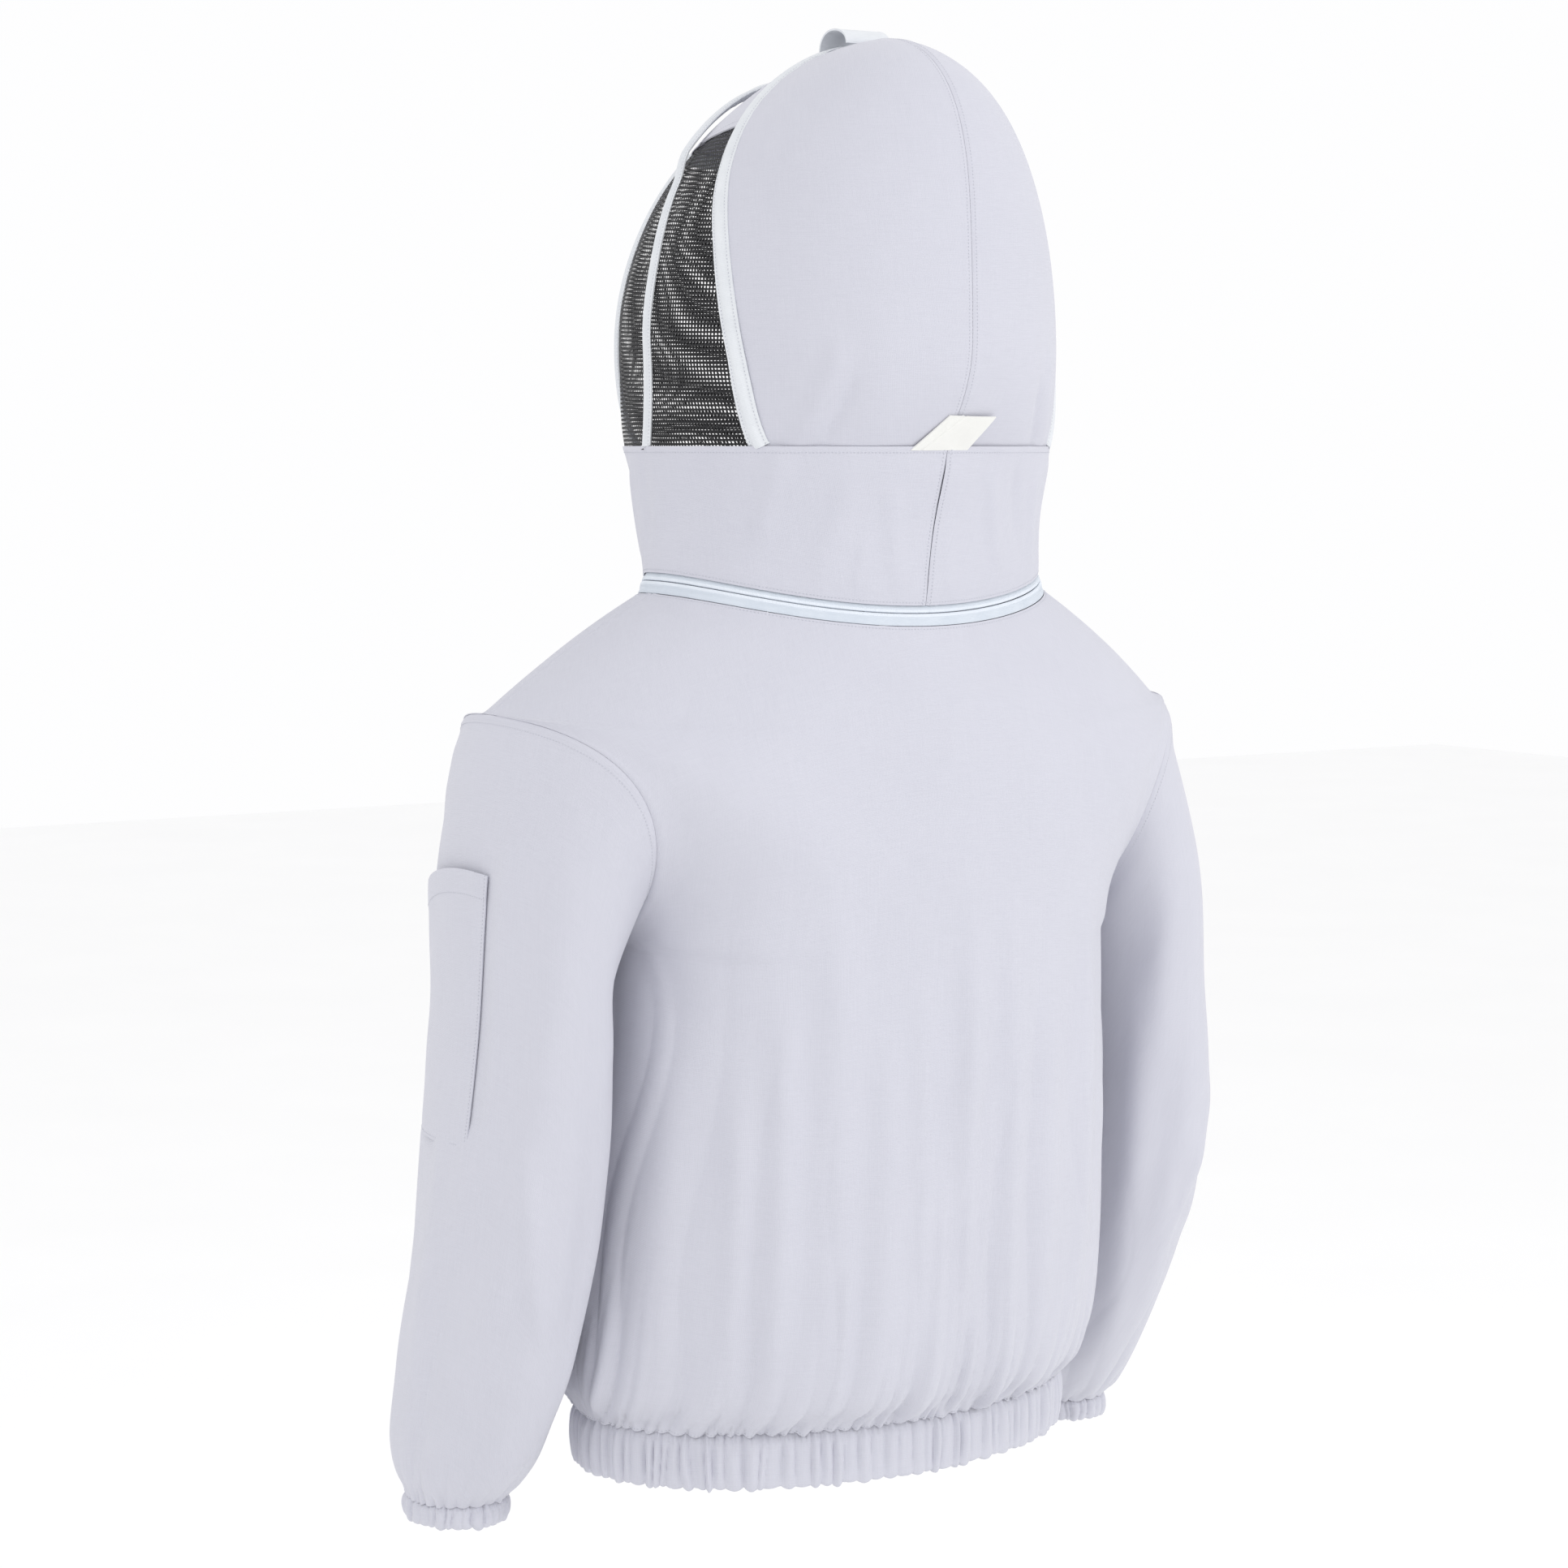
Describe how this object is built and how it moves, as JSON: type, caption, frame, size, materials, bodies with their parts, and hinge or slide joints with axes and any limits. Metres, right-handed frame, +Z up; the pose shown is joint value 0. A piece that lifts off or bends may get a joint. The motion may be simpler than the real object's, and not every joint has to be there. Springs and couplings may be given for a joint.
{
  "type": "beekeeping jacket with hooded veil",
  "caption": "Hooded beekeeping jacket with a hooped fencing-style veil that zips on round the neck, sleeve and hip pockets, and an elastic hem and cuffs.",
  "frame": {"origin": "centre of the neck opening, at the height of the neck zip at the centre back, where the jacket hangs from the wearer's neck and shoulders", "axes": "+Z up, the wearer faces -Y, the wearer's left is +X"},
  "size_m": [0.6467, 0.3588, 1.0732],
  "materials": {
    "cotton_white": "plain-woven poly-cotton, matt",
    "tape_white": "woven tape, matt",
    "net_black": "open knitted net, slight sheen",
    "coil_white": "nylon coil",
    "elastic": "woven elastic",
    "hoop_wire": "spring steel",
    "slider_metal": "plated die-cast metal"
  },
  "bodies": {
    "jacket": {"back_panel": "cotton_white", "front_panel_left": "cotton_white", "front_panel_right": "cotton_white", "hem_casing": "cotton_white", "hem_elastic": "elastic", "hip_pocket_left": "cotton_white", "hip_pocket_right": "cotton_white", "neck_coil_lower": "coil_white", "neck_tape_lower": "tape_white", "front_coil_left": "coil_white", "front_coil_right": "coil_white", "front_tape_left": "tape_white", "front_tape_right": "tape_white"},
    "hood": {"collar_left": "cotton_white", "collar_right": "cotton_white", "hood_back_left": "cotton_white", "hood_back_right": "cotton_white", "visor": "cotton_white", "veil_side_mesh_left": "net_black", "veil_side_mesh_right": "net_black", "veil_cheek_mesh_left": "net_black", "veil_cheek_mesh_right": "net_black", "veil_front_mesh": "net_black", "hoop_binding_rear": "tape_white", "hoop_binding_middle": "tape_white", "hoop_binding_front": "tape_white", "hoop_wire_rear": "hoop_wire", "hoop_wire_middle": "hoop_wire", "hoop_wire_front": "hoop_wire", "neck_coil_upper": "coil_white", "neck_tape_upper": "tape_white", "hanging_loop": "tape_white"},
    "tab": {"back_tab": "tape_white"},
    "sleeve_left": {"sleeve_left": "cotton_white", "sleeve_pocket": "cotton_white", "cuff_casing_left": "cotton_white", "cuff_elastic_left": "elastic"},
    "sleeve_right": {"sleeve_right": "cotton_white", "cuff_casing_right": "cotton_white", "cuff_elastic_right": "elastic"},
    "front_slider": {"front_slider": "slider_metal", "front_bail": "slider_metal"},
    "front_pull": {"front_pull": "slider_metal"},
    "neck_slider_left": {"neck_left_slider": "slider_metal", "neck_left_bail": "slider_metal"},
    "neck_pull_left": {"neck_left_pull": "slider_metal"},
    "neck_slider_right": {"neck_right_slider": "slider_metal", "neck_right_bail": "slider_metal"},
    "neck_pull_right": {"neck_right_pull": "slider_metal"}
  },
  "joints": [
    {"name": "hood_swing", "type": "hinge", "parent": "jacket", "child": "hood", "pos_m": [0, 0.1175, -0.001], "axis": [-1, 0, 0], "range_deg": [0, 110]},
    {"name": "tab_flip", "type": "hinge", "parent": "hood", "child": "tab", "pos_m": [0.006, 0.14, 0.1172], "axis": [-1, 0, 0], "range_deg": [0, 95], "stiffness_Nm_per_rad": 0.01},
    {"name": "sleeve_left_lift", "type": "hinge", "parent": "jacket", "child": "sleeve_left", "pos_m": [0.28, -0.017, -0.067], "axis": [0, -1, 0], "range_deg": [0, 60]},
    {"name": "sleeve_right_lift", "type": "hinge", "parent": "jacket", "child": "sleeve_right", "pos_m": [-0.28, -0.017, -0.067], "axis": [0, 1, 0], "range_deg": [0, 60]},
    {"name": "front_zip_slide", "type": "slide", "parent": "jacket", "child": "front_slider", "axis": [0, -0.0955, -0.9954], "range_m": [0, 0.55]},
    {"name": "front_pull_swing", "type": "hinge", "parent": "front_slider", "child": "front_pull", "pos_m": [0, -0.10498, -0.03936], "axis": [-1, 0, 0], "range_deg": [0, 115]},
    {"name": "neck_left_slide", "type": "hinge", "parent": "jacket", "child": "neck_slider_left", "pos_m": [0, 0.1478, -0.01], "axis": [0, 0, 1], "range_deg": [0, 13.5]},
    {"name": "neck_left_pull_swing", "type": "hinge", "parent": "neck_slider_left", "child": "neck_pull_left", "pos_m": [0.01589, -0.09946, -0.00842], "axis": [0.0183, -0.3709, -0.9285], "range_deg": [0, 110]},
    {"name": "neck_right_slide", "type": "hinge", "parent": "jacket", "child": "neck_slider_right", "pos_m": [0, 0.1478, -0.01], "axis": [0, 0, -1], "range_deg": [0, 13.5]},
    {"name": "neck_right_pull_swing", "type": "hinge", "parent": "neck_slider_right", "child": "neck_pull_right", "pos_m": [-0.01589, -0.09946, -0.00842], "axis": [0.0183, 0.3709, 0.9285], "range_deg": [0, 110]}
  ]
}
